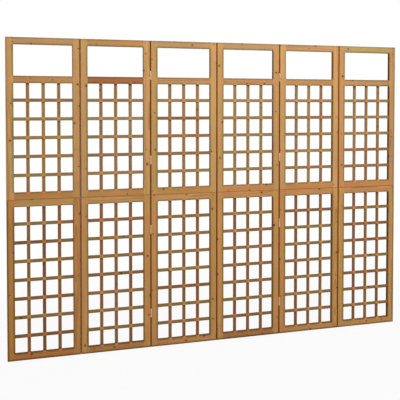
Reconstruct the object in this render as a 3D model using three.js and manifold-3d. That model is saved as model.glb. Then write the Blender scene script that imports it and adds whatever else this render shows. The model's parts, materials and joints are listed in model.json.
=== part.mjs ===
// A folding screen of six columns. Each column is two trellis frames of stained fir, one standing on the other, and
// neighbouring columns are joined by butt hinges whose knuckles lie on the front and on the back in turn.
// Millimetres, +Z up. X runs along the flat screen, the front looks along -Y, and the floor is at Z = 0.
import * as THREE from 'three';
import { mergeVertices } from 'three/addons/utils/BufferGeometryUtils.js';
import Module from 'manifold-3d';

// The columns and their two frames.
const COLUMN_COUNT = 6;
const COLUMN_WIDTH = 402.8;
const FRAME_HEIGHT = 899.8;
const FRAME_THICKNESS = 20;
const STILE_WIDTH = 42;
const RAIL_HEIGHT = 40;
const WINDOW_HEIGHT = 173;
const FRAME_SEAT_GAP = 0.4; // the upper frame's underside to the lower frame's top

// The trellis: cross slats lie in front of the upright ones, and both end in mortises in the frame.
const SLAT_WIDTH = 19;
const SLAT_THICKNESS = 6;
const SLAT_TENON = 8;
const UPRIGHT_SLATS = 3;
const UPPER_CROSS_SLATS = 5;
const LOWER_CROSS_SLATS = 7;

// Dowels glued into the lower stiles, which the bores of the upper stiles drop over.
const DOWEL_RADIUS = 4;
const DOWEL_RISE = 22;
const DOWEL_CLEARANCE = 0.3; // round the dowel
const DOWEL_END_CLEARANCE = 1.5; // above the dowel
const DOWEL_SIDES = 10;

// The plate that ties the upper frame to the lower one, flat on the back of their two middle rails.
const PLATE_WIDTH = 30;
const PLATE_THICKNESS = 1.5;
const PLATE_REACH = 30; // up and down from the seam
const PLATE_SEAT_GAP = 0.15;
const PLATE_HOLE_RADIUS = 2;
const PLATE_HOLE_INSET = 8; // hole centre to the plate's edges

// The butt hinges.
const HINGES_PER_FRAME = 2;
const HINGE_HEIGHT = 50;
const HINGE_INSET = 204; // hinge middle to the nearer end of its frame
const LEAF_THICKNESS = 1.2;
const LEAF_DEPTH = 16;
const LEAF_LET_IN = 0.95; // depth of the mortise in the stile's edge that a leaf lies in
const LEAF_SEAT_GAP = 0.15; // leaf to the bottom of its mortise
const MORTISE_CLEARANCE = 0.3; // round the leaf in its mortise
const LEAVES_APART = 0.8; // leaf to leaf with the screen flat
const PIN_RADIUS = 1.5;
const PIN_CLEARANCE = 0.4;
const KNUCKLE_WALL = 1.1;
const KNUCKLE_FACE_GAP = 0.5; // knuckle to the face of the frame
const KNUCKLE_END_GAP = 0.4; // knuckle to knuckle, along the pin
const KNUCKLE_SIDES = 12;
const LEAF_HOLE_RADIUS = 1.8;
const LEAF_HOLE_INSET = 8; // hole centre to the leaf's upper and lower edge
const HOLE_SIDES = 8;

// Sizes that follow from these.
const COLUMN_GAP = 2 * (LEAF_SEAT_GAP + LEAF_THICKNESS - LEAF_LET_IN) + LEAVES_APART;
const COLUMN_PITCH = COLUMN_WIDTH + COLUMN_GAP;
const UPPER_FRAME_Z = FRAME_HEIGHT + FRAME_SEAT_GAP;
const SEAM_Z = FRAME_HEIGHT + FRAME_SEAT_GAP / 2;
const FACE_Y = FRAME_THICKNESS / 2;
const BORE_RADIUS = PIN_RADIUS + PIN_CLEARANCE;
const KNUCKLE_RADIUS = BORE_RADIUS + KNUCKLE_WALL;
const HINGE_AXIS_Y = FACE_Y + KNUCKLE_FACE_GAP + KNUCKLE_RADIUS;
const OVERSHOOT = 1; // how far a cutting tool passes the face it cuts

const fir = (name, colour) => {
  const material = new THREE.MeshStandardMaterial({ color: colour, roughness: 0.55, metalness: 0 });
  material.name = name;
  return material;
};
const UPPER_FIR = fir('upper fir', 0xc3925c);
const LOWER_FIR = fir('lower fir', 0xb07f4c);
const HINGE_METAL = new THREE.MeshStandardMaterial({ color: 0xc9c2b2, roughness: 0.35, metalness: 0.9 });

const wasm = await Module();
wasm.setup();

// A three.js geometry as a solid that can be joined and cut.
function solid(geometry) {
  const bare = geometry.clone();
  bare.deleteAttribute('normal');
  bare.deleteAttribute('uv');
  const merged = mergeVertices(bare);
  return new wasm.Manifold(new wasm.Mesh({
    numProp: 3,
    vertProperties: new Float32Array(merged.attributes.position.array),
    triVerts: new Uint32Array(merged.index.array),
  }));
}

// A block between two values on each axis.
function block([x0, x1], [y0, y1], [z0, z1]) {
  const geometry = new THREE.BoxGeometry(x1 - x0, y1 - y0, z1 - z0);
  return solid(geometry.translate((x0 + x1) / 2, (y0 + y1) / 2, (z0 + z1) / 2));
}

// An upright round bar.
function bar(radius, sides, x, y, [z0, z1]) {
  const geometry = new THREE.CylinderGeometry(radius, radius, z1 - z0, sides);
  return solid(geometry.rotateX(Math.PI / 2).translate(x, y, (z0 + z1) / 2));
}

// A round cutter along X or Y, through whatever lies between two values on that axis.
function drill(axis, radius, [from, to], across, z) {
  const geometry = new THREE.CylinderGeometry(radius, radius, to - from, HOLE_SIDES);
  const middle = (from + to) / 2;
  if (axis === 'x') {
    return solid(geometry.rotateZ(Math.PI / 2).translate(middle, across, z));
  }
  return solid(geometry.translate(across, middle, z));
}

const join = (pieces) => pieces.reduce((whole, piece) => whole.add(piece));
const cut = (whole, tools) => tools.reduce((left, tool) => left.subtract(tool), whole);
const ascending = (...values) => values.sort((a, b) => a - b);

function mesh(name, shape, material) {
  const { vertProperties, triVerts } = shape.getMesh();
  const geometry = new THREE.BufferGeometry();
  geometry.setAttribute('position', new THREE.BufferAttribute(vertProperties, 3));
  geometry.setIndex(new THREE.BufferAttribute(triVerts, 1));
  geometry.computeVertexNormals();
  const made = new THREE.Mesh(geometry, material);
  made.name = name;
  return made;
}

// Evenly spaced middles of a number of slats in an opening.
function slatMiddles(from, to, count) {
  const clear = (to - from - count * SLAT_WIDTH) / (count + 1);
  return Array.from({ length: count }, (_, i) => from + (i + 1) * clear + (i + 0.5) * SLAT_WIDTH);
}

// Two stiles over the whole height of a frame, its foot at Z = 0 and its middle at X = 0.
function stiles() {
  const outer = COLUMN_WIDTH / 2;
  const inner = outer - STILE_WIDTH;
  return [[-outer, -inner], [inner, outer]].map((x) => block(x, [-FACE_Y, FACE_Y], [0, FRAME_HEIGHT]));
}

// A rail between the stiles, let into them by its tenons.
function rail(bottom) {
  const reach = COLUMN_WIDTH / 2 - STILE_WIDTH + SLAT_TENON;
  return block([-reach, reach], [-FACE_Y, FACE_Y], [bottom, bottom + RAIL_HEIGHT]);
}

// The slats of one opening, which reaches from one rail to the next.
function trellis(bottom, top, crossSlats) {
  const inner = COLUMN_WIDTH / 2 - STILE_WIDTH;
  const half = SLAT_WIDTH / 2;
  const uprights = slatMiddles(-inner, inner, UPRIGHT_SLATS).map((x) =>
    block([x - half, x + half], [0, SLAT_THICKNESS], [bottom - SLAT_TENON, top + SLAT_TENON]));
  const crossings = slatMiddles(bottom, top, crossSlats).map((z) =>
    block([-inner - SLAT_TENON, inner + SLAT_TENON], [-SLAT_THICKNESS, 0], [z - half, z + half]));
  return [...uprights, ...crossings];
}

// The face that a fold line's knuckles stand on: 1 is the back, and every second line has them on the front, -1.
const knuckleFace = (line) => (line % 2 === 0 ? 1 : -1);

// The heights of the hinges in a frame, the outer ones as far from its two ends.
function hingeHeights() {
  const step = (FRAME_HEIGHT - 2 * HINGE_INSET) / (HINGES_PER_FRAME - 1);
  return Array.from({ length: HINGES_PER_FRAME }, (_, i) => HINGE_INSET + i * step);
}

// The mortises for the leaves of one fold line, in the outer edge of a column's stile on the given side.
function mortises(side, face) {
  const x = ascending(side * (COLUMN_WIDTH / 2 - LEAF_LET_IN), side * (COLUMN_WIDTH / 2 + OVERSHOOT));
  const y = ascending(face * (FACE_Y + OVERSHOOT), face * (FACE_Y - LEAF_DEPTH - MORTISE_CLEARANCE));
  const half = HINGE_HEIGHT / 2 + MORTISE_CLEARANCE;
  return hingeHeights().map((z) => block(x, y, [z - half, z + half]));
}

// The mortises of both stiles of column i. The outermost edges of the screen have none.
function columnMortises(i) {
  const left = i > 0 ? mortises(-1, knuckleFace(i - 1)) : [];
  const right = i < COLUMN_COUNT - 1 ? mortises(1, knuckleFace(i)) : [];
  return [...left, ...right];
}

// The middles of the two stiles, where the dowels stand.
const dowelPlaces = () => [-1, 1].map((side) => side * (COLUMN_WIDTH - STILE_WIDTH) / 2);

function lowerFrame() {
  const top = FRAME_HEIGHT - RAIL_HEIGHT;
  const dowels = dowelPlaces().map((x) =>
    bar(DOWEL_RADIUS, DOWEL_SIDES, x, 0, [FRAME_HEIGHT - DOWEL_RISE, FRAME_HEIGHT + DOWEL_RISE]));
  return join([...stiles(), rail(0), rail(top), ...trellis(RAIL_HEIGHT, top, LOWER_CROSS_SLATS), ...dowels]);
}

function upperFrame() {
  const top = FRAME_HEIGHT - RAIL_HEIGHT;
  const midRail = top - WINDOW_HEIGHT - RAIL_HEIGHT;
  const rails = [rail(0), rail(midRail), rail(top)];
  const whole = join([...stiles(), ...rails, ...trellis(RAIL_HEIGHT, midRail, UPPER_CROSS_SLATS)]);
  const boreTop = DOWEL_RISE + DOWEL_END_CLEARANCE;
  const bores = dowelPlaces().map((x) =>
    bar(DOWEL_RADIUS + DOWEL_CLEARANCE, DOWEL_SIDES, x, 0, [-OVERSHOOT, boreTop]));
  return cut(whole, bores);
}

// The flat plate behind the seam, with a screw hole near each corner.
function joiningPlate() {
  const near = FACE_Y + PLATE_SEAT_GAP;
  const far = near + PLATE_THICKNESS;
  const half = PLATE_WIDTH / 2;
  const plate = block([-half, half], [near, far], [SEAM_Z - PLATE_REACH, SEAM_Z + PLATE_REACH]);
  const holes = [];
  for (const x of [-1, 1].map((side) => side * (half - PLATE_HOLE_INSET))) {
    for (const z of [-1, 1].map((side) => SEAM_Z + side * (PLATE_REACH - PLATE_HOLE_INSET))) {
      holes.push(drill('y', PLATE_HOLE_RADIUS, [near - OVERSHOOT, far + OVERSHOOT], x, z));
    }
  }
  return cut(plate, holes);
}

// The hinge's three knuckles from the bottom up, in its own height.
function knuckleSpans() {
  const length = (HINGE_HEIGHT - 2 * KNUCKLE_END_GAP) / 3;
  return [0, 1, 2].map((i) => {
    const from = -HINGE_HEIGHT / 2 + i * (length + KNUCKLE_END_GAP);
    return [from, from + length];
  });
}

// A leaf on the side of the fold line that its sign gives, with knuckles at the given spans. The hinge's own frame has
// the fold line at X = 0, the frames' middle at Y = 0 and its knuckles in front of the face.
function leaf(side, spans) {
  const x = ascending(side * (LEAVES_APART / 2), side * (LEAVES_APART / 2 + LEAF_THICKNESS));
  const plate = block(x, [-FACE_Y, -FACE_Y + LEAF_DEPTH], [-HINGE_HEIGHT / 2, HINGE_HEIGHT / 2]);
  const necks = spans.map((z) => block(x, [-HINGE_AXIS_Y, -FACE_Y], z));
  const knuckles = spans.map((z) => bar(KNUCKLE_RADIUS, KNUCKLE_SIDES, 0, -HINGE_AXIS_Y, z));
  const reach = [x[0] - OVERSHOOT, x[1] + OVERSHOOT];
  const holes = [-1, 1].map((end) =>
    drill('x', LEAF_HOLE_RADIUS, reach, -FACE_Y + LEAF_DEPTH / 2, end * (HINGE_HEIGHT / 2 - LEAF_HOLE_INSET)));
  return cut(join([plate, ...necks, ...knuckles]), holes);
}

// The leaf that carries the pin: the lower and the upper knuckle, with the pin riveted into both.
function pinLeaf() {
  const [low, , high] = knuckleSpans();
  const pin = bar(PIN_RADIUS, KNUCKLE_SIDES, 0, -HINGE_AXIS_Y, [low[0], high[1]]);
  return leaf(-1, [low, high]).add(pin);
}

// The leaf whose middle knuckle turns on the pin.
function plainLeaf() {
  const middle = knuckleSpans()[1];
  const bore = [middle[0] - OVERSHOOT, middle[1] + OVERSHOOT];
  return leaf(1, [middle]).subtract(bar(BORE_RADIUS, KNUCKLE_SIDES, 0, -HINGE_AXIS_Y, bore));
}

const columnMiddle = (i) => (i - (COLUMN_COUNT - 1) / 2) * COLUMN_PITCH;

function column(i) {
  const group = new THREE.Group();
  group.position.x = columnMiddle(i);
  const hinged = columnMortises(i);
  const upper = mesh(`upper_trellis_frame_${i + 1}`, cut(upperFrame(), hinged), UPPER_FIR);
  upper.position.z = UPPER_FRAME_Z;
  const lower = mesh(`lower_trellis_frame_${i + 1}`, cut(lowerFrame(), hinged), LOWER_FIR);
  const plate = mesh(`joining_plate_${i + 1}`, joiningPlate(), HINGE_METAL);
  group.add(upper, lower, plate);
  return group;
}

// The hinges on the fold line after column i, from the top down. Those with knuckles on the back are turned round.
function foldLine(i) {
  const group = new THREE.Group();
  group.position.x = columnMiddle(i) + COLUMN_PITCH / 2;
  group.rotation.z = knuckleFace(i) > 0 ? Math.PI : 0;
  const line = `${i + 1}${i + 2}`;
  const heights = [...hingeHeights(), ...hingeHeights().map((z) => UPPER_FRAME_Z + z)].reverse();
  heights.forEach((z, level) => {
    const label = `hinge_${line}_${'abcdefgh'[level]}`;
    for (const [part, shape] of [['pin_leaf', pinLeaf()], ['plain_leaf', plainLeaf()]]) {
      const made = mesh(`${label}_${part}`, shape, HINGE_METAL);
      made.position.z = z;
      group.add(made);
    }
  });
  return group;
}

const group = new THREE.Group();
for (let i = 0; i < COLUMN_COUNT; i += 1) {
  group.add(column(i));
}
for (let i = 0; i < COLUMN_COUNT - 1; i += 1) {
  group.add(foldLine(i));
}

export default group;
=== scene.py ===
"""The looks of a folding screen: six columns of stained fir trellis, joined by plated butt hinges.

Metres, +Z up. X runs along the flat screen, the front looks along -Y, and the floor is at Z = 0.
"""

import json
import math
import random

import bmesh
import bpy
from mathutils import Matrix, Vector

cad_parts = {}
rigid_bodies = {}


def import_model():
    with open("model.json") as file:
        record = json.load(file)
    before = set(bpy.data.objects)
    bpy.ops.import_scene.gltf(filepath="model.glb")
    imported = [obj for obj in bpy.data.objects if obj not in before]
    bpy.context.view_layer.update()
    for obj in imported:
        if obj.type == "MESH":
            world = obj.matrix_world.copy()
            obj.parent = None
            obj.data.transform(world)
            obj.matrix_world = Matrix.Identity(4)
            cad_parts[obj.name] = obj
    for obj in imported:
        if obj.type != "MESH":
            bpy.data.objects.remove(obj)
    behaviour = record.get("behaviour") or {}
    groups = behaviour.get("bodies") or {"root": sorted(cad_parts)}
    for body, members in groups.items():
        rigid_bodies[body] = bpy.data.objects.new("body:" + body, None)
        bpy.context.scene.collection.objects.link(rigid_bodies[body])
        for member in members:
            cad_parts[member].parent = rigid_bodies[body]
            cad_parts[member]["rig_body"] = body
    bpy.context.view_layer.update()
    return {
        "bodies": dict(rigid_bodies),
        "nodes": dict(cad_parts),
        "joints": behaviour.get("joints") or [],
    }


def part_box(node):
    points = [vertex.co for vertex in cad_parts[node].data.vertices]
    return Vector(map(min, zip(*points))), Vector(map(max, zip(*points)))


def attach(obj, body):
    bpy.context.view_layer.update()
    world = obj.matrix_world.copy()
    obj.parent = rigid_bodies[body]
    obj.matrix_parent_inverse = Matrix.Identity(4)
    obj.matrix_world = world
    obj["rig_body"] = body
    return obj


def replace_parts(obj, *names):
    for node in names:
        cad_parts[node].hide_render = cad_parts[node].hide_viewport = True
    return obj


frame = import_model()

COLUMNS = len(frame["bodies"])
MM = 0.001
NEAR = 0.01 * MM  # places closer together than this are one

# The timber sections and the trellis.
STILE_WIDTH = 42 * MM
RAIL_HEIGHT = 40 * MM
WINDOW_HEIGHT = 173 * MM
SLAT_WIDTH = 19 * MM
SLAT_THICKNESS = 6 * MM
SLAT_LET_IN = 3 * MM  # how far a slat's end goes into the stile or rail
UPRIGHT_SLATS = 3
CROSS_SLATS = {"upper": 5, "lower": 7}
FRAME_EASE = 1.3 * MM  # radius of the rounded arrises of stiles and rails
SLAT_EASE = 0.7 * MM

# The hinges and the joining plates.
LEAVES_APART = 0.8 * MM
LEAF_THICKNESS = 1.2 * MM
LEAF_DEPTH = 16 * MM
LEAF_CORNER = 2 * MM
PIN_RADIUS = 1.5 * MM
PIN_HEAD = 0.5 * MM  # height of the pin's domed ends above the knuckles
BORE_RADIUS = 1.9 * MM
KNUCKLE_RADIUS = 3 * MM
KNUCKLE_GAP = 0.4 * MM
KNUCKLE_EASE = 0.35 * MM
PLATE_CORNER = 3 * MM
HOLE_RADIUS = 1.8 * MM
HOLE_INSET = 8 * MM  # from the ends of a leaf, and from all sides of a plate
COUNTERSINK = 0.9 * MM
TURNED_SIDES = 32  # of the knuckles and the pin
HOLE_SIDES = 16
CORNER_STEPS = 4  # flats of a rounded corner
METAL_SMOOTH = 35  # degrees between two faces, below which the metal looks round

# The countersunk screws, and the cross in their heads.
SCREW_PROUD = 0.1 * MM  # head above the face of the metal
SCREW_SIDES = 24
SCREW_OUTLINE = [  # height and radius, from the rim of the head down to the tip
    (0, 2.55 * MM),
    (-0.1 * MM, 2.7 * MM),
    (-1.4 * MM, 1.5 * MM),
    (-11 * MM, 1.3 * MM),
    (-14 * MM, 0.2 * MM),
]
CROSS_ARM = 1.5 * MM  # from the middle of the head
CROSS_HALF_WIDTH = 0.35 * MM
CROSS_DEPTH = 0.8 * MM
CROSS_TAPER = 0.6  # size of the cross at its bottom, as a share of that at its top


def near(first, second):
    return abs(first - second) < NEAR


# ---------------------------------------------------------------- stain, tone and painted shade

def srgb(code):
    """A colour written as in a paint list, as the linear values that the shaders take."""
    channels = [int(code[i:i + 2], 16) / 255 for i in (0, 2, 4)]
    return tuple(c / 12.92 if c <= 0.04045 else ((c + 0.055) / 1.055) ** 2.4 for c in channels)


# One stain on paler and darker boards. Most lower boards are darker and more saturated than the upper ones,
# partly painted shade of the light falling off towards the floor.
STAIN = {
    "upper stile": srgb("bf9360"),
    "upper top rail": srgb("b49164"),
    "upper mid rail": srgb("b68659"),
    "upper bottom rail": srgb("bc8954"),
    "upper cross slat": srgb("c79960"),
    "upper upright slat": srgb("cc965a"),
    "lower stile": srgb("be9057"),
    "lower top rail": srgb("bf905f"),
    "lower bottom rail": srgb("b6834f"),
    "lower cross slat": srgb("be8a54"),
    "lower upright slat": srgb("bb7e4a"),
}

# Tints, by which the wood's red, green and blue are multiplied.
PLAIN = Vector((1, 1, 1))
REDDER = Vector((1.05, 0.93, 0.92))  # towards the pink boards
OLIVE = Vector((0.96, 1.03, 0.9))  # towards the greenish ones
MAROON_SLAT = Vector((0.92, 0.78, 0.8))
OLIVE_SLAT = Vector((0.98, 1.07, 0.86))
HEARTWOOD = Vector((0.74, 0.54, 0.46))  # sawn from the red heart of the log
AMBER = Vector((1.0, 0.84, 0.66))  # rich in resin
DEEPER = Vector((0.86, 0.83, 0.8))  # takes more of the stain
PALER = Vector((1.17, 1.24, 1.28))  # takes less
ODD_BOARDS = {  # the boards that differ from their neighbours
    "upper_2_mid_rail": HEARTWOOD,
    "upper_2_top_rail": AMBER,
    "lower_1_left_stile": AMBER,
    "lower_1_right_stile": DEEPER,
    "lower_1_bottom_rail": AMBER,
    "lower_4_bottom_rail": DEEPER,
    "upper_6_right_stile": DEEPER,
    "lower_5_bottom_rail": PALER,
    "lower_6_bottom_rail": PALER,
}
TONE_SPREAD = 0.055  # how much lighter or darker a board may be
FULL_STRENGTH = 0.51  # share of a rim that doesn't fade: half of it, and a hair for rounding


class Rim:
    """A band of painted shade along an edge of a board, whose inner half fades away.

    It has one tint on the board's face and another on its side, both painted shade.
    """

    def __init__(self, width, face, side):
        self.width, self.face, self.side = width, Vector(face), Vector(side)

    def fades(self, edge, inwards):
        """The places, inwards from the edge, at which the band begins and ends to fade."""
        return [edge + inwards * depth for depth in (self.width / 2, self.width)]

    def covers(self, distance):
        """Whether the band has its full strength at a distance from the edge."""
        return distance < self.width * FULL_STRENGTH

    def tint(self, distance):
        if near(distance, 0):
            return self.side
        return self.face if self.covers(distance) else PLAIN


FREE = {  # beside an opening: painted shade on the edge's face, and darker on its side
    "upper left stile": Rim(13 * MM, face=(0.56, 0.69, 0.66), side=(0.4, 0.36, 0.3)),
    "upper right stile": Rim(8 * MM, face=(0.6, 0.7, 0.66), side=(0.28, 0.15, 0.1)),
    "upper rail": Rim(11 * MM, face=(0.62, 0.74, 0.72), side=(0.3, 0.26, 0.2)),
    "lower left stile": Rim(13 * MM, face=(0.5, 0.56, 0.54), side=(0.3, 0.26, 0.2)),
    "lower right stile": Rim(8 * MM, face=(0.5, 0.52, 0.48), side=(0.22, 0.1, 0.06)),
    "lower rail": Rim(8 * MM, face=(0.5, 0.54, 0.52), side=(0.2, 0.16, 0.1)),
}
OUTLINE = {  # round the screen: painted shade along its outer edges, darker on the lower frames
    "upper": Rim(12 * MM, face=(0.7, 0.82, 0.88), side=(0.6, 0.6, 0.55)),
    "lower": Rim(13 * MM, face=(0.46, 0.53, 0.54), side=(0.4, 0.4, 0.36)),
}
FOLD = Rim(5 * MM, face=(0.4, 0.19, 0.06), side=(0.3, 0.14, 0.03))  # beside the next column: painted shade in the gap of the fold line
SEAM = Rim(4 * MM, face=(0.9, 0.76, 0.56), side=(0.5, 0.35, 0.2))  # between the upper and the lower frame: painted shade along the joint
# SLAT_RIM: painted shade along a slat's long edges
SLAT_RIM = Rim(3 * MM, face=(0.9, 0.88, 0.8), side=(0.7, 0.62, 0.45))
SLAT_END = Rim(12 * MM, face=(0.62, 0.42, 0.2), side=(0.7, 0.62, 0.45))  # behind the edge of a rail: the rail's shadow, painted on the slat
SLAT = Vector((0.52, 0.63, 0.8))  # slats between the crossings: painted shade
CROSSING = {  # slats where they cross: the painted shade gives way to a warmer tint
    "upper": Vector((0.97, 0.8, 0.56)),
    "lower": Vector((1.1, 0.98, 0.79)),
}
CROSSING_SPILL = 1 * MM  # how far that reaches beyond the crossing slat
SLAT_SPOT = Vector((1.3, 1.07, 0.85))  # the edge of a rail where a slat runs into it
RIM_FADE = 2.5 * MM  # length over which a rim gives way where another board meets it


def laid_over(first, second):
    """Two tints in one place: the darker of them, and one that lightens takes the other along."""
    return Vector([min(a, b) if max(a, b) <= 1 else a * b for a, b in zip(first, second)])


# ---------------------------------------------------------------- materials

class NodeTree:
    """The node tree of a material or of the world, and the means to lay it out."""

    def __init__(self, tree):
        self.tree = tree

    def node(self, kind, *inputs, **settings):
        """A node with its settings and its inputs in order, None for one left as it is."""
        made = self.tree.nodes.new(kind)
        for name, value in settings.items():
            setattr(made, name, value)
        for socket, value in zip(made.inputs, inputs):
            self.feed(socket, value)
        return made

    def feed(self, socket, value):
        """Gives a socket what another one puts out, or a plain value."""
        if isinstance(value, bpy.types.NodeSocket):
            self.tree.links.new(value, socket)
        elif value is not None:
            socket.default_value = value

    def attribute(self, name, output):
        return self.node("ShaderNodeAttribute", attribute_name=name).outputs[output]

    def object_place(self):
        return self.node("ShaderNodeTexCoord").outputs["Object"]

    def maths(self, operation, *values):
        return self.node("ShaderNodeMath", *values, operation=operation).outputs[0]

    def vector(self, operation, *values):
        return self.node("ShaderNodeVectorMath", *values, operation=operation).outputs[0]

    def scaled(self, value, factor):
        made = self.node("ShaderNodeVectorMath", value, operation="SCALE")
        self.feed(made.inputs["Scale"], factor)
        return made.outputs[0]

    def length(self, value):
        return self.node("ShaderNodeVectorMath", value, operation="LENGTH").outputs["Value"]

    def noise(self, place, waves, detail=2):
        """Noise with a number of waves to the metre along each axis."""
        made = self.node("ShaderNodeTexNoise", self.vector("MULTIPLY", place, waves))
        made.inputs["Scale"].default_value = 1
        made.inputs["Detail"].default_value = detail
        return made

    def varied(self, value, depth):
        """A factor round 1 that goes up and down with a value from 0 to 1, by the depth in all."""
        return self.maths("MULTIPLY_ADD", value, depth, 1 - depth / 2)

    def between(self, value, low, high, out_low=0.0, out_high=1.0):
        """The value's place between low and high, eased at both ends, from out_low to out_high."""
        return self.node("ShaderNodeMapRange", value, low, high, out_low, out_high,
                         interpolation_type="SMOOTHSTEP").outputs[0]

    def blend(self, share, first, second):
        """A mix of two colours."""
        made = self.node("ShaderNodeMix", data_type="RGBA")
        for index, value in ((0, share), (6, first), (7, second)):
            self.feed(made.inputs[index], value)
        return made.outputs[2]


class Finish(NodeTree):
    """A material with one shader, whose sockets are fed by name."""

    def __init__(self, name):
        self.material = bpy.data.materials.new(name)
        self.material.use_nodes = True
        super().__init__(self.material.node_tree)
        self.shader = self.tree.nodes["Principled BSDF"]

    def surface(self, name, value):
        self.feed(self.shader.inputs[name], value)

    def relief(self, height, strength, depth):
        """Bumps from a height between 0 and 1, where 1 is the depth in metres."""
        bump = self.node("ShaderNodeBump")
        bump.inputs["Strength"].default_value = strength
        bump.inputs["Distance"].default_value = depth
        self.feed(bump.inputs["Height"], height)
        self.surface("Normal", bump.outputs[0])


KNOT_CELL = Vector((0.11, 0.046, 0))  # one place for a knot in every so much board, in metres
KNOT_SCATTER = 0.85  # 0 for knots in rows, 1 for knots anywhere
KNOT_SMALLEST, KNOT_LARGEST = 2.5 * MM, 7.5 * MM
KNOT_EDGE = 1.15, 0.7  # where it begins and is full, as shares of its radius
KNOT_BEND = 12 * MM  # how far round a knot the rings give way
KNOT_DARK = 0.35, 1  # range of its random number over which a knot goes from red to dark
RED_KNOT = (*srgb("86461e"), 1)
DARK_KNOT = (*srgb("3e1c08"), 1)


def knots(f, grain):
    """How much of a knot there is at a place, how near it is to one, and that knot's colour."""
    cell = f.vector("DIVIDE", grain, (KNOT_CELL.x, KNOT_CELL.y, 1))
    cell = f.vector("MULTIPLY", cell, (1, 1, 0))
    spots = f.node("ShaderNodeTexVoronoi", cell, voronoi_dimensions="2D")
    spots.inputs["Scale"].default_value = 1
    spots.inputs["Randomness"].default_value = KNOT_SCATTER
    away = f.vector("SUBTRACT", cell, spots.outputs["Position"])
    away = f.length(f.vector("MULTIPLY", away, KNOT_CELL))
    chance, darkness, _ = f.node("ShaderNodeSeparateColor", spots.outputs["Color"]).outputs
    clear = f.maths("SUBTRACT", 1, f.attribute("knotty", "Fac"))
    present = f.maths("GREATER_THAN", chance, clear)
    radius = f.node("ShaderNodeMapRange", chance, clear, 1, KNOT_SMALLEST, KNOT_LARGEST).outputs[0]
    knot = f.between(f.maths("DIVIDE", away, radius), *KNOT_EDGE)
    reach = f.maths("ADD", radius, KNOT_BEND)
    nearness = f.between(f.maths("DIVIDE", away, reach), 1, 0)
    colour = f.blend(f.between(darkness, *KNOT_DARK), RED_KNOT, DARK_KNOT)
    return f.maths("MULTIPLY", knot, present), f.maths("MULTIPLY", nearness, present), colour


RING_STEP = 3.4 * MM  # width of a year's growth
RING_WANDER = 16 * MM  # how far the rings stray along the log
WANDER_WAVES = 1.7, 9, 9
RINGS_GIVE_WAY = 5 * MM  # at a knot
GOOD_YEARS = 2.6  # years by which the rings are early or late, after good and bad ones
GOOD_YEAR_WAVES = 0.31  # to the year
AUTUMN = 0.35, 0.9  # share of the year over which late wood sets in
WINTER = 1, 0.93  # and over which it ends, backwards


def growth_rings(f, grain, knot_nearness):
    """The share of dark late wood, from rings round the pith, which lies along the grain at zero."""
    wander = f.noise(grain, WANDER_WAVES, detail=1).outputs["Color"]
    wander = f.scaled(f.vector("SUBTRACT", wander, (0.5, 0.5, 0.5)), RING_WANDER)
    across = f.vector("MULTIPLY", f.vector("ADD", grain, wander), (0, 1, 1))
    radius = f.maths("MULTIPLY_ADD", knot_nearness, RINGS_GIVE_WAY, f.length(across))
    years = f.maths("DIVIDE", radius, RING_STEP)
    uneven = f.node("ShaderNodeTexNoise", noise_dimensions="1D")
    f.feed(uneven.inputs["W"], years)
    uneven.inputs["Scale"].default_value = GOOD_YEAR_WAVES
    uneven.inputs["Detail"].default_value = 1
    years = f.maths("MULTIPLY_ADD", uneven.outputs[0], GOOD_YEARS, years)
    season = f.maths("FRACT", years)
    return f.maths("MULTIPLY", f.between(season, *AUTUMN), f.between(season, *WINTER))


# Tints of the wood's own patterns, and the waves of each to the metre, along the grain and across it.
EARLY_WOOD = 1.13, 1.13, 1.1
LATE_WOOD = 0.84, 0.74, 0.6
LATE_SHARE = 0.85
STREAK = 1.04, 0.93, 0.82
STREAK_WAVES = 1.5, 95, 95
STREAK_EDGE = 0.4, 0.75
PINK_PATCH, PINK_EDGE = (1.04, 0.94, 0.92), (0.5, 0.7)
GREEN_PATCH, GREEN_EDGE = (0.96, 1.03, 0.9), (0.5, 0.3)
HUE_WAVES = 13, 24, 24
FIBRE_WAVES, FIBRE_LIGHT = (22, 1100, 1100), 0.2
PATCH_WAVES, PATCH_LIGHT = (7, 22, 22), 0.3
KNOT_HALO = 0.3  # share of late wood round a knot
KNOT_SHARE = 0.9

# The satin of the stain.
EARLY_ROUGHNESS, LATE_ROUGHNESS = 0.62, 0.5
GLOSS = 0.22  # of the plain wood; less where the tint paints shade
FIBRE_RELIEF, RING_RELIEF = 0.5, 0.4
WOOD_RELIEF = 0.25 * MM
WOOD_RELIEF_STRENGTH = 0.5


def uneven_stain(f, grain, wood):
    """The wood with its warm streaks and its pink and greenish patches."""
    streaks = f.noise(grain, STREAK_WAVES).outputs[0]
    hue = f.noise(grain, HUE_WAVES, detail=1).outputs[0]
    patterns = (streaks, STREAK_EDGE, STREAK), (hue, PINK_EDGE, PINK_PATCH), (hue, GREEN_EDGE, GREEN_PATCH)
    for pattern, edge, tint in patterns:
        wood = f.blend(f.between(pattern, *edge), wood, f.vector("MULTIPLY", wood, tint))
    return wood


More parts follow.
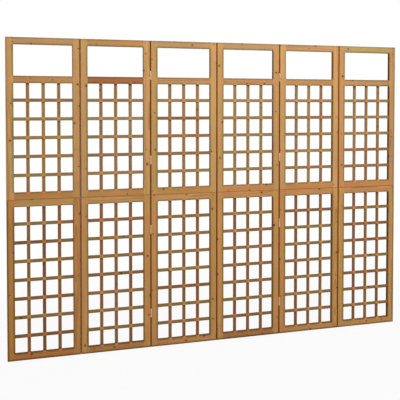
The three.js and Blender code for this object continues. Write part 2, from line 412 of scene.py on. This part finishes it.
def stained_fir():
    """Knotty fir under a satin brown stain, sawn as each board's own attributes say."""
    f = Finish("stained fir")
    grain = f.attribute("grain", "Vector")
    tint = f.attribute("tint", "Vector")
    fibres = f.noise(grain, FIBRE_WAVES).outputs[0]
    knot, knot_nearness, knot_colour = knots(f, grain)
    late = growth_rings(f, grain, knot_nearness)
    stain = f.attribute("stain", "Vector")
    early_wood = f.vector("MULTIPLY", stain, EARLY_WOOD)
    late_wood = f.vector("MULTIPLY", stain, LATE_WOOD)
    wood = f.blend(f.maths("MULTIPLY", late, LATE_SHARE), early_wood, late_wood)
    wood = uneven_stain(f, grain, wood)
    patches = f.noise(grain, PATCH_WAVES).outputs[0]
    light = f.maths("MULTIPLY", f.varied(fibres, FIBRE_LIGHT), f.varied(patches, PATCH_LIGHT))
    wood = f.scaled(wood, light)
    wood = f.blend(f.maths("MULTIPLY", knot_nearness, KNOT_HALO), wood, late_wood)
    wood = f.blend(f.maths("MULTIPLY", knot, KNOT_SHARE), wood, knot_colour)
    # the tint paints shade along the edges, in the folds and on the slats
    f.surface("Base Color", f.vector("MULTIPLY", wood, tint))
    f.surface("Roughness", f.between(late, 0, 1, EARLY_ROUGHNESS, LATE_ROUGHNESS))
    # the gloss falls where the tint paints shade
    unshaded = f.node("ShaderNodeSeparateXYZ", tint).outputs[0]
    f.surface("Specular IOR Level", f.maths("MULTIPLY", unshaded, GLOSS))
    rings = f.maths("MULTIPLY", late, RING_RELIEF)
    f.relief(f.maths("MULTIPLY_ADD", fibres, FIBRE_RELIEF, rings), WOOD_RELIEF_STRENGTH, WOOD_RELIEF)
    return f.material


# The plating, with the waves of its patterns to the metre.
PLATING = (*srgb("f2cca4"), 1)
DULL_PLATING = (*srgb("d3a77b"), 1)
PLATING_ROUGHNESS, DULL_ROUGHNESS = 0.24, 0.36
METALLIC = 0.9
MARK_WAVES = 900, 900, 60
MARK_ROUGHNESS = 0.16
MARK_RELIEF = 0.05 * MM
MARK_STRENGTH = 0.3
DULL_WAVES = 120, 120, 120
DULL_EDGE = 0.42, 0.68


def plated_steel():
    """Yellow plating over rolled steel, with fine drawing marks and duller patches."""
    f = Finish("plated steel")
    place = f.object_place()
    marks = f.noise(place, MARK_WAVES).outputs[0]
    dull = f.between(f.noise(place, DULL_WAVES, detail=3).outputs[0], *DULL_EDGE)
    roughness = f.between(dull, 0, 1, PLATING_ROUGHNESS, DULL_ROUGHNESS)
    f.surface("Base Color", f.blend(dull, PLATING, DULL_PLATING))
    f.surface("Metallic", METALLIC)
    f.surface("Roughness", f.maths("MULTIPLY_ADD", marks, MARK_ROUGHNESS, roughness))
    f.relief(marks, MARK_STRENGTH, MARK_RELIEF)
    return f.material


FIR = stained_fir()
STEEL = plated_steel()


# ---------------------------------------------------------------- pieces and meshes

def in_scene(name, data):
    """A new object, linked to the scene."""
    made = bpy.data.objects.new(name, data)
    bpy.context.scene.collection.objects.link(made)
    return made


def as_mesh(name, bm):
    """The bmesh as a mesh; frees the bmesh."""
    mesh = bpy.data.meshes.new(name)
    bm.to_mesh(mesh)
    bm.free()
    return mesh


def finished(name, bm, material, body, smooth_below=None):
    """The bmesh as a named piece on its body, smooth across edges flatter than an angle in degrees."""
    bm.normal_update()  # a transform leaves the normals behind, and the next line starts from them
    bmesh.ops.recalc_face_normals(bm, faces=bm.faces)
    for face in bm.faces:
        face.smooth = smooth_below is not None
    mesh = as_mesh(name, bm)
    if smooth_below is not None:
        mesh.set_sharp_from_angle(angle=math.radians(smooth_below))
    mesh.materials.append(material)
    piece = in_scene(name, mesh)
    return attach(piece, body)


def metal_piece(name, bm, body):
    """Metalwork, smooth round what is turned or rolled."""
    return finished(name, bm, STEEL, body, METAL_SMOOTH)


def block(bm, low, high):
    """A plain block between two corners."""
    low, high = Vector(low), Vector(high)
    verts = bmesh.ops.create_cube(bm, size=1)["verts"]
    bmesh.ops.scale(bm, vec=high - low, verts=verts)
    bmesh.ops.translate(bm, vec=(low + high) / 2, verts=verts)


def ease(bm, edges, radius, segments=2):
    """Rounds edges, or with one segment cuts them off."""
    bmesh.ops.bevel(bm, geom=edges, offset=radius, segments=segments, profile=0.5,
                    affect="EDGES", clamp_overlap=True, material=-1)


def add(bm, part, matrix=Matrix.Identity(4)):
    """Puts a bmesh into another one, moved by a matrix, and frees it."""
    part.transform(matrix)
    mesh = as_mesh("part", part)
    bm.from_mesh(mesh)
    bpy.data.meshes.remove(mesh)


# ---------------------------------------------------------------- boards

OFF_PITH = 25 * MM, 75 * MM  # how far from the pith a board is sawn
TRUNK = 100  # metres of log that the boards come from


def place_in_log(rng):
    """Where a board was sawn: its own stretch of trunk, and to one side of the pith."""
    turn = rng.uniform(0, 2 * math.pi)
    off_pith = rng.uniform(*OFF_PITH)
    stretch = rng.uniform(-TRUNK / 2, TRUNK / 2)
    return Vector((stretch, off_pith * math.cos(turn), off_pith * math.sin(turn)))


class Board:
    """A board along X or Z, with its width across that and its depth along Y.

    rims are the bands of painted shade along its low and its high long edge. joined holds for each of them
    the spans along it where another board meets it and the rim gives way to the spot's tint. ends are the
    rims of its two ends, where these show.
    """

    hues = REDDER, OLIVE
    hue_spread = 0.5  # how far the boards' hues lie apart
    knotty = 0.5  # share of the places for a knot that have one

    def __init__(self, low, high, axis, stain, radius, rims, joined=((), ()), ends=(), spot=PLAIN):
        self.low, self.high = Vector(low), Vector(high)
        self.along, self.across = (0, 2) if axis == "x" else (2, 0)
        self.stain, self.radius = STAIN[stain], radius
        self.rims, self.joined, self.ends = rims, joined, ends
        self.spot = spot

    def cuts(self):
        """The planes, as an axis and a place on it, at which the tint changes."""
        along = {p for spans in self.joined for a, b in spans for p in (a, a + RIM_FADE, b - RIM_FADE, b)}
        for edge, inwards, rim in zip((self.low, self.high), (1, -1), self.ends):
            along.update(rim.fades(edge[self.along], inwards))
        start, end = self.low[self.along] + 2 * self.radius, self.high[self.along] - 2 * self.radius
        cuts = [(self.along, place) for place in sorted(along) if start < place < end]
        for edge, inwards, rim in zip((self.low, self.high), (1, -1), self.rims):
            cuts += [(self.across, place) for place in rim.fades(edge[self.across], inwards)]
        return cuts

    def tint(self, place):
        """The painted shade and spots that the wood's red, green and blue are multiplied by at a point on the
        board.
        """
        tint = PLAIN
        in_front = place.y < self.high.y - self.radius
        for edge, rim, spans in zip((self.low, self.high), self.rims, self.joined):
            distance = abs(place[self.across] - edge[self.across])
            spot = self.spot if in_front and rim.covers(distance) else PLAIN
            tint = laid_over(tint, rim.tint(distance).lerp(spot, self.met(place, spans)))
        for edge, rim in zip((self.low, self.high), self.ends):
            tint = laid_over(tint, rim.tint(abs(place[self.along] - edge[self.along])))
        return tint

    def met(self, place, spans):
        """How far a point lies inside one of the spans, from 0 to 1."""
        inside = [min(place[self.along] - a, b - place[self.along]) for a, b in spans]
        return min(1, max([0, *inside]) / RIM_FADE)

    def tone(self, rng):
        """The stain on this board, which is a little lighter or darker, redder or more olive."""
        hue = rng.gauss(0, self.hue_spread)
        tint = self.hues[0] if hue > 0 else self.hues[1]
        share = min(1, abs(hue))
        light = 1 + rng.uniform(-TONE_SPREAD, TONE_SPREAD)
        return Vector([c * light * (1 + (t - 1) * share) for c, t in zip(self.stain, tint)])

    def is_long(self, edge):
        run = edge.verts[1].co - edge.verts[0].co
        return abs(run[self.along]) > run.length / 2

    def shape(self, rng):
        """The board as a bmesh whose vertices carry what its wood looks like there."""
        bm = bmesh.new()
        grain, stain, tint = (bm.verts.layers.float_vector.new(name) for name in ("grain", "stain", "tint"))
        knotty = bm.verts.layers.float.new("knotty")
        block(bm, self.low, self.high)
        ease(bm, [e for e in bm.edges if self.ends or self.is_long(e)], self.radius)
        for axis, place in self.cuts():
            normal = Matrix.Identity(3)[axis]
            bmesh.ops.bisect_plane(bm, geom=[*bm.verts, *bm.edges, *bm.faces],
                                   plane_co=normal * place, plane_no=normal)
        tone, shift = self.tone(rng), place_in_log(rng)
        middle = (self.low + self.high) / 2
        for v in bm.verts:
            offset = v.co - middle
            v[grain] = Vector((offset[self.along], offset[self.across], offset.y)) + shift
            v[stain] = tone
            v[tint] = self.tint(v.co)
            v[knotty] = self.knotty
        return bm


class Slat(Board):
    """A thin board that others cross: painted shade between the crossings, a warmer tint at them."""

    hues = MAROON_SLAT, OLIVE_SLAT
    hue_spread = 0.9
    knotty = 0.2

    def __init__(self, low, high, axis, half, crossed, ends=()):
        stain = f"{half} cross slat" if axis == "x" else f"{half} upright slat"
        crossed = [(a - CROSSING_SPILL, b + CROSSING_SPILL) for a, b in crossed]
        super().__init__(low, high, axis, stain, SLAT_EASE, (SLAT_RIM, SLAT_RIM), (crossed, crossed), ends)
        self.crossing = CROSSING[half]

    def tint(self, place):
        crossed, _ = self.joined
        return laid_over(super().tint(place), SLAT.lerp(self.crossing, self.met(place, crossed)))


# ---------------------------------------------------------------- trellis frames

def slat_spans(start, end, count):
    """The evenly spaced spans that a number of slats take of an opening."""
    clear = (end - start - count * SLAT_WIDTH) / (count + 1)
    lows = [start + clear + i * (clear + SLAT_WIDTH) for i in range(count)]
    return [(low, low + SLAT_WIDTH) for low in lows]


class TrellisFrame:
    """One trellis frame in the box of its own node: two stiles, its rails and its two layers of slats.

    inner is what the stiles leave between them, grid the height that the slats cross, and upright and crossed
    are the spans that the two layers of slats take.
    """

    def __init__(self, half, number, height):
        self.half, self.number = half, number
        self.node = f"{half}_trellis_frame_{number}"
        self.rng = random.Random(f"{half} {number}")
        self.low, self.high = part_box(self.node)
        self.high.z = self.low.z + height
        self.inner = (self.low.x + STILE_WIDTH, self.high.x - STILE_WIDTH)
        self.rails = {"bottom": self.low.z, "top": self.high.z - RAIL_HEIGHT}
        if half == "upper":
            self.rails["mid"] = self.rails["top"] - WINDOW_HEIGHT - RAIL_HEIGHT
        self.grid = (self.low.z + RAIL_HEIGHT, self.rails.get("mid", self.rails["top"]))
        self.upright = slat_spans(*self.inner, UPRIGHT_SLATS)
        self.crossed = slat_spans(*self.grid, CROSS_SLATS[half])
        self.ends = (SEAM, OUTLINE[half]) if half == "upper" else (OUTLINE[half], SEAM)

    def make(self):
        self.stile("left", self.low.x, outermost=self.number == 1)
        self.stile("right", self.inner[1], outermost=self.number == COLUMNS)
        for place, z in self.rails.items():
            self.rail(place, z)
        self.upright_slats()
        self.cross_slats()

    def piece(self, name, boards):
        """Boards as one piece, whose name starts with where this frame is."""
        name = f"{self.half}_{self.number}_{name}"
        bm = bmesh.new()
        for board in boards:
            board.stain = [c * t for c, t in zip(board.stain, ODD_BOARDS.get(name, PLAIN))]
            add(bm, board.shape(self.rng))
        made = finished(name, bm, FIR, f"column_{self.number}")
        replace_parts(made, self.node)

    def stile(self, side, x, outermost):
        rims = [OUTLINE[self.half] if outermost else FOLD, FREE[f"{self.half} {side} stile"]]
        joined = [(), [(z, z + RAIL_HEIGHT) for z in self.rails.values()]]
        if side == "right":
            rims.reverse()
            joined.reverse()
        low, high = (x, self.low.y, self.low.z), (x + STILE_WIDTH, self.high.y, self.high.z)
        board = Board(low, high, "z", f"{self.half} stile", FRAME_EASE, rims, joined, self.ends)
        self.piece(f"{side}_stile", [board])

    def rail(self, place, z):
        rims = [FREE[f"{self.half} rail"]] * 2
        if place == "bottom":
            rims[0] = self.ends[0]
        if place == "top":
            rims[1] = self.ends[1]
        slats_below = self.upright if near(z, self.grid[1]) else ()
        slats_above = self.upright if near(z + RAIL_HEIGHT, self.grid[0]) else ()
        low, high = (self.inner[0], self.low.y, z), (self.inner[1], self.high.y, z + RAIL_HEIGHT)
        board = Board(low, high, "x", f"{self.half} {place} rail", FRAME_EASE, rims,
                      (slats_below, slats_above), spot=SLAT_SPOT)
        self.piece(f"{place}_rail", [board])

    def upright_slats(self):
        """The back layer of slats."""
        bottom, top = self.grid[0] - SLAT_LET_IN, self.grid[1] + SLAT_LET_IN
        # the rails' shadow, painted on the slats' ends
        ends = (SLAT_END, SLAT_END)
        self.piece("upright_slats", [
            Slat((left, 0, bottom), (right, SLAT_THICKNESS, top), "z", self.half, self.crossed, ends)
            for left, right in self.upright])

    def cross_slats(self):
        """The front layer of slats."""
        left, right = self.inner[0] - SLAT_LET_IN, self.inner[1] + SLAT_LET_IN
        self.piece("cross_slats", [
            Slat((left, -SLAT_THICKNESS, bottom), (right, 0, top), "x", self.half, self.upright)
            for bottom, top in self.crossed])


# ---------------------------------------------------------------- metalwork, made lying on the bench

def stood_up(face, up, place):
    """From the bench to its place: a piece's open side then looks along face, not up."""
    face, up = Vector(face), Vector(up)
    return Matrix.Translation(place) @ Matrix((up.cross(face), up, face)).transposed().to_4x4()


def holed_cell(bm, low, high, hole):
    """A flat cell between two corners with a round hole, from the outline of a unit square."""
    steps, half = HOLE_SIDES // 4, 0.5
    square = bmesh.ops.create_grid(bm, x_segments=steps, y_segments=steps, size=half)["verts"]
    inside = [v for v in square if not near(max(abs(v.co.x), abs(v.co.y)), half)]
    outline = [v for v in square if v not in inside]
    bmesh.ops.delete(bm, geom=inside, context="VERTS")
    for v in outline:
        v.co = Vector([a + (c + half) * (b - a) for a, b, c in zip(low, high, v.co.xy)]).to_3d()
    round_hole = bmesh.ops.create_circle(bm, segments=HOLE_SIDES, radius=HOLE_RADIUS)["verts"]
    bmesh.ops.translate(bm, vec=Vector(hole).to_3d(), verts=round_hole)
    edges = {e for v in [*outline, *round_hole] for e in v.link_edges}
    bmesh.ops.bridge_loops(bm, edges=list(edges))


def holed_sheet(cells, thickness, corners, radius):
    """A sheet on the bench with a countersunk hole in each cell and rounded corners.

    A cell is its lower corner, its upper corner and the middle of its hole.
    """
    bm = bmesh.new()
    for low, high, hole in cells:
        holed_cell(bm, low, high, hole)
    bmesh.ops.remove_doubles(bm, verts=bm.verts, dist=NEAR)
    for face in bm.faces:
        if face.normal.z < 0:
            face.normal_flip()
    bmesh.ops.solidify(bm, geom=bm.faces, thickness=thickness)
    bmesh.ops.translate(bm, vec=(0, 0, -min(v.co.z for v in bm.verts)), verts=bm.verts)
    bmesh.ops.recalc_face_normals(bm, faces=bm.faces)
    middles = [Vector(hole) for _, _, hole in cells]
    open_rims = [e for e in bm.edges if all(
        near(v.co.z, thickness) and near(min((v.co.xy - m).length for m in middles), HOLE_RADIUS)
        for v in e.verts)]
    ease(bm, open_rims, COUNTERSINK, segments=1)
    upright = [e for e in bm.edges if not near(e.verts[0].co.z, e.verts[1].co.z)]
    rounded = [e for e in upright if any(near((e.verts[0].co.xy - Vector(c)).length, 0) for c in corners)]
    ease(bm, rounded, radius, segments=CORNER_STEPS)
    return bm


def tube(bore, low, high):
    """An upright knuckle round the Z axis."""
    bm = bmesh.new()
    edges = set()
    for radius in (bore, KNUCKLE_RADIUS):
        for v in bmesh.ops.create_circle(bm, segments=TURNED_SIDES, radius=radius)["verts"]:
            edges |= set(v.link_edges)
    faces = bmesh.ops.bridge_loops(bm, edges=list(edges))["faces"]
    bmesh.ops.solidify(bm, geom=faces, thickness=high - low)
    bmesh.ops.translate(bm, vec=(0, 0, low - min(v.co.z for v in bm.verts)), verts=bm.verts)
    bmesh.ops.recalc_face_normals(bm, faces=bm.faces)
    outside = [e for e in bm.edges if all(near(v.co.xy.length, KNUCKLE_RADIUS) for v in e.verts)]
    ease(bm, [e for e in outside if near(e.verts[0].co.z, e.verts[1].co.z)], KNUCKLE_EASE)
    return bm


def pin(reach):
    """The hinge pin with its domed ends, as far up as down."""
    bm = bmesh.new()
    bmesh.ops.create_cone(bm, cap_ends=True, segments=TURNED_SIDES, radius1=PIN_RADIUS,
                          radius2=PIN_RADIUS, depth=2 * reach)
    ease(bm, [e for e in bm.edges if near(e.verts[0].co.z, e.verts[1].co.z)], PIN_HEAD, segments=3)
    return bm


def cross_outline(bm):
    """A flat cross at Z = 0: a grid of three by three unit squares without its corners, brought to size."""
    edge = 1.5
    grid = bmesh.ops.create_grid(bm, x_segments=3, y_segments=3, size=edge)["verts"]
    corners = [v for v in grid if near(abs(v.co.x), edge) and near(abs(v.co.y), edge)]
    bmesh.ops.delete(bm, geom=corners, context="VERTS")
    for v in bm.verts:
        sizes = [CROSS_ARM if near(abs(c), edge) else CROSS_HALF_WIDTH for c in v.co.xy]
        v.co = Vector([math.copysign(size, c) for size, c in zip(sizes, v.co.xy)]).to_3d()


def screw():
    """A countersunk screw whose head lies at Z = 0 on the bench and looks up."""
    bm = bmesh.new()
    cross_outline(bm)
    cross = list(bm.faces)
    outline = [e for e in bm.edges if e.is_boundary]
    head_radius = SCREW_OUTLINE[0][1]
    head = bmesh.ops.create_circle(bm, segments=SCREW_SIDES, radius=head_radius)["verts"]
    edges = list({e for v in head for e in v.link_edges})
    bmesh.ops.bridge_loops(bm, edges=outline + edges)
    for z, radius in SCREW_OUTLINE[1:]:
        made = bmesh.ops.extrude_edge_only(bm, edges=edges)["geom"]
        edges = [e for e in made if isinstance(e, bmesh.types.BMEdge)]
        for v in made:
            if isinstance(v, bmesh.types.BMVert):
                v.co = (v.co.xy.normalized() * radius).to_3d() + Vector((0, 0, z))
    bmesh.ops.contextual_create(bm, geom=edges)
    sunk = bmesh.ops.extrude_face_region(bm, geom=cross)["geom"]
    sunk = [v for v in sunk if isinstance(v, bmesh.types.BMVert)]
    bmesh.ops.delete(bm, geom=cross, context="FACES")
    bmesh.ops.scale(bm, vec=(CROSS_TAPER, CROSS_TAPER, 1), verts=sunk)
    bmesh.ops.translate(bm, vec=(0, 0, -CROSS_DEPTH), verts=sunk)
    bmesh.ops.recalc_face_normals(bm, faces=bm.faces)
    return bm


def knuckle_spans(height):
    """The heights that the three knuckles take, from the hinge's middle."""
    length = (height - 2 * KNUCKLE_GAP) / 3
    lows = [-height / 2 + i * (length + KNUCKLE_GAP) for i in range(3)]
    return [(low, low + length) for low in lows]


class Hinge:
    """A butt hinge by its own fold line at X = 0, its knuckles in front of the face of the frames."""

    def __init__(self, height, face_y, axis_y):
        self.height, self.face_y, self.axis_y = height, face_y, axis_y

    def leaf(self, side, spans, bore):
        """The leaf on one side, let in from the face of the frames, with a knuckle at each span."""
        bm = bmesh.new()
        inner = side * LEAVES_APART / 2
        outer = side * (LEAVES_APART / 2 + LEAF_THICKNESS)
        near_y, far_y = self.face_y, self.face_y + LEAF_DEPTH
        half = self.height / 2
        hole_y, hole_z = near_y + LEAF_DEPTH / 2, half - HOLE_INSET
        cells = [
            ((near_y, -half), (far_y, 0), (hole_y, -hole_z)),
            ((near_y, 0), (far_y, half), (hole_y, hole_z)),
        ]
        sheet = holed_sheet(cells, LEAF_THICKNESS, [(far_y, -half), (far_y, half)], LEAF_CORNER)
        add(bm, sheet, stood_up((-side, 0, 0), (0, 0, -side), (outer, 0, 0)))
        left, right = sorted((inner, outer))
        for low, high in spans:
            neck = bmesh.new()
            block(neck, (left, self.axis_y, low), (right, near_y + LEAF_THICKNESS, high))
            add(bm, neck)
            add(bm, tube(bore, low, high), Matrix.Translation((0, self.axis_y, 0)))
        return bm

    def pin_leaf(self):
        low, _, high = knuckle_spans(self.height)
        bm = self.leaf(-1, [low, high], PIN_RADIUS)
        add(bm, pin(self.height / 2 + PIN_HEAD), Matrix.Translation((0, self.axis_y, 0)))
        return bm

    def plain_leaf(self):
        _, middle, _ = knuckle_spans(self.height)
        return self.leaf(1, [middle], BORE_RADIUS)

    def screws(self, side):
        """The two screws through the leaf on one side."""
        bm = bmesh.new()
        x, y = side * (LEAVES_APART / 2 - SCREW_PROUD), self.face_y + LEAF_DEPTH / 2
        for end in (-1, 1):
            z = end * (self.height / 2 - HOLE_INSET)
            add(bm, screw(), stood_up((-side, 0, 0), (0, 0, 1), (x, y, z)))
        return bm


def fold_line(joint):
    """The four hinges of a fold line, on the side of the screen that the joint's axis lies on."""
    line = joint["name"].removeprefix("fold_")
    x, axis_y, _ = joint["pos_m"]
    turn = math.pi if axis_y > 0 else 0
    face_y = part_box("upper_trellis_frame_1")[0].y
    screws = {-1: bmesh.new(), 1: bmesh.new()}
    bodies = {}
    for level in "abcd":
        node = f"hinge_{line}_{level}"
        low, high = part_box(f"{node}_pin_leaf")
        hinge = Hinge(high.z - low.z, face_y, -abs(axis_y))
        place = Matrix.Translation((x, 0, (low.z + high.z) / 2)) @ Matrix.Rotation(turn, 4, "Z")
        for side, part, bm in ((-1, "pin_leaf", hinge.pin_leaf()), (1, "plain_leaf", hinge.plain_leaf())):
            bodies[side] = frame["nodes"][f"{node}_{part}"]["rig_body"]
            bm.transform(place)
            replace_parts(metal_piece(f"{node}_{part}_rolled", bm, bodies[side]), f"{node}_{part}")
            add(screws[side], hinge.screws(side), place)
    for side, bm in screws.items():
        metal_piece(f"hinge_{line}_screws_{bodies[side]}", bm, bodies[side])


def joining_plate(number):
    """The plate across the seam at mid height, on the back, with its four screws."""
    node, body = f"joining_plate_{number}", f"column_{number}"
    low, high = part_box(node)
    middle = (low + high) / 2
    half_x, half_z = (high.x - low.x) / 2, (high.z - low.z) / 2
    quarters = [(x, z) for x in (-1, 1) for z in (-1, 1)]
    corners = [(x * half_x, z * half_z) for x, z in quarters]
    holes = [(x * (half_x - HOLE_INSET), z * (half_z - HOLE_INSET)) for x, z in quarters]
    cells = [((min(0, x), min(0, z)), (max(0, x), max(0, z)), hole) for (x, z), hole in zip(corners, holes)]
    bm = holed_sheet(cells, high.y - low.y, corners, PLATE_CORNER)
    bm.transform(stood_up((0, 1, 0), (0, 0, 1), (middle.x, low.y, middle.z)))
    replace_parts(metal_piece(f"{node}_pressed", bm, body), node)
    bm = bmesh.new()
    for x, z in holes:
        place = (middle.x + x, high.y + SCREW_PROUD, middle.z + z)
        add(bm, screw(), stood_up((0, 1, 0), (0, 0, 1), place))
    metal_piece(f"{node}_screws", bm, body)


# ---------------------------------------------------------------- the studio

CAMERA_PLACE = -1.0854, -3.5657, 1.4243
CAMERA_PITCH = 1.5  # degrees down
CAMERA_YAW = 15.41  # degrees to the right
CAMERA_SHIFT = -0.1965  # the view is moved down by so much of its width
LENS, SENSOR_WIDTH = 55.67, 36  # in millimetres

AMBIENT = 0.3  # strength of the even light
WHITE = (1, 1, 1, 1)
FLOOR_GREY = (0.5, 0.5, 0.5, 1)
FLOOR_ROUGHNESS = 0.9
FLOOR_REACH = 40  # from the screen's middle to the floor's edges
WHITENS = 0.7, 2.2  # distance from the screen's middle over which the floor gets white
WHITE_BELOW = 0.93  # share of white under the screen
SHADOW_LENGTH = 0.45  # distances along the screen count by so much, because it is long


def camera():
    """The photograph's place and angle: in front of the first column, at breast height, turned right."""
    data = bpy.data.cameras.new("camera")
    data.lens = LENS
    data.sensor_width = SENSOR_WIDTH
    data.shift_y = CAMERA_SHIFT
    made = in_scene("camera", data)
    made.location = CAMERA_PLACE
    made.rotation_euler = (math.radians(90 - CAMERA_PITCH), 0, math.radians(-CAMERA_YAW))
    bpy.context.scene.camera = made


def lamp(name, place, target, size, watts):
    """A lamp with a rectangular face that looks at a target."""
    data = bpy.data.lights.new(name, "AREA")
    data.shape = "RECTANGLE"
    data.size, data.size_y = size
    data.energy = watts
    made = in_scene(name, data)
    made.location = place
    made.rotation_euler = (Vector(target) - Vector(place)).to_track_quat("-Z", "Y").to_euler()


def seen_white(f):
    """1 for rays from the camera and those that mirror or pass through what it sees, 0 for the rest."""
    path = f.node("ShaderNodeLightPath").outputs
    seen = f.maths("MAXIMUM", path["Is Camera Ray"], path["Is Glossy Ray"])
    return f.maths("MAXIMUM", seen, path["Is Transmission Ray"])


def floor():
    """A pale floor that keeps the screen's shadow near it and is white further off."""
    f = Finish("pale floor")
    f.surface("Base Color", FLOOR_GREY)
    f.surface("Roughness", FLOOR_ROUGHNESS)
    f.surface("Specular IOR Level", 0)
    distance = f.length(f.vector("MULTIPLY", f.object_place(), (SHADOW_LENGTH, 1, 0)))
    white = f.node("ShaderNodeEmission", WHITE, 1.0)
    share = f.maths("MULTIPLY", seen_white(f), f.between(distance, *WHITENS, WHITE_BELOW, 1))
    mixed = f.node("ShaderNodeMixShader", share, f.shader.outputs[0], white.outputs[0])
    f.feed(f.tree.nodes["Material Output"].inputs["Surface"], mixed.outputs[0])
    bm = bmesh.new()
    bmesh.ops.create_grid(bm, x_segments=8, y_segments=8, size=FLOOR_REACH)
    mesh = as_mesh("floor", bm)
    mesh.materials.append(f.material)
    in_scene("floor", mesh)


def surroundings():
    """Even light from all round, and a white backdrop where the screen is seen against it."""
    world = bpy.data.worlds.new("studio")
    bpy.context.scene.world = world
    world.use_nodes = True
    f = NodeTree(world.node_tree)
    strength = f.node("ShaderNodeMapRange", seen_white(f), 0, 1, AMBIENT, 1)
    background = f.tree.nodes["Background"]
    background.inputs["Color"].default_value = WHITE
    f.feed(background.inputs["Strength"], strength.outputs[0])


camera()
surroundings()
lamp("key", place=(0.5, -2.7, 3.9), target=(0, 0, 1.2), size=(3.2, 1.6), watts=137)
lamp("fill", place=(3.5, -4.0, 2.2), target=(0, 0, 0.9), size=(3, 3), watts=12)
lamp("back", place=(1.5, 4.5, 3.6), target=(0, 0, 0.9), size=(4, 2.5), watts=175)
floor()

# All frames are as high as an upper one. The lower ones' boxes hold their dowels too.
upper_low, upper_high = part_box("upper_trellis_frame_1")
for column in range(1, COLUMNS + 1):
    for half in ("upper", "lower"):
        TrellisFrame(half, column, upper_high.z - upper_low.z).make()
    joining_plate(column)
for joint in frame["joints"]:
    fold_line(joint)

bpy.context.scene.view_settings.view_transform = "Standard"
bpy.context.view_layer.update()
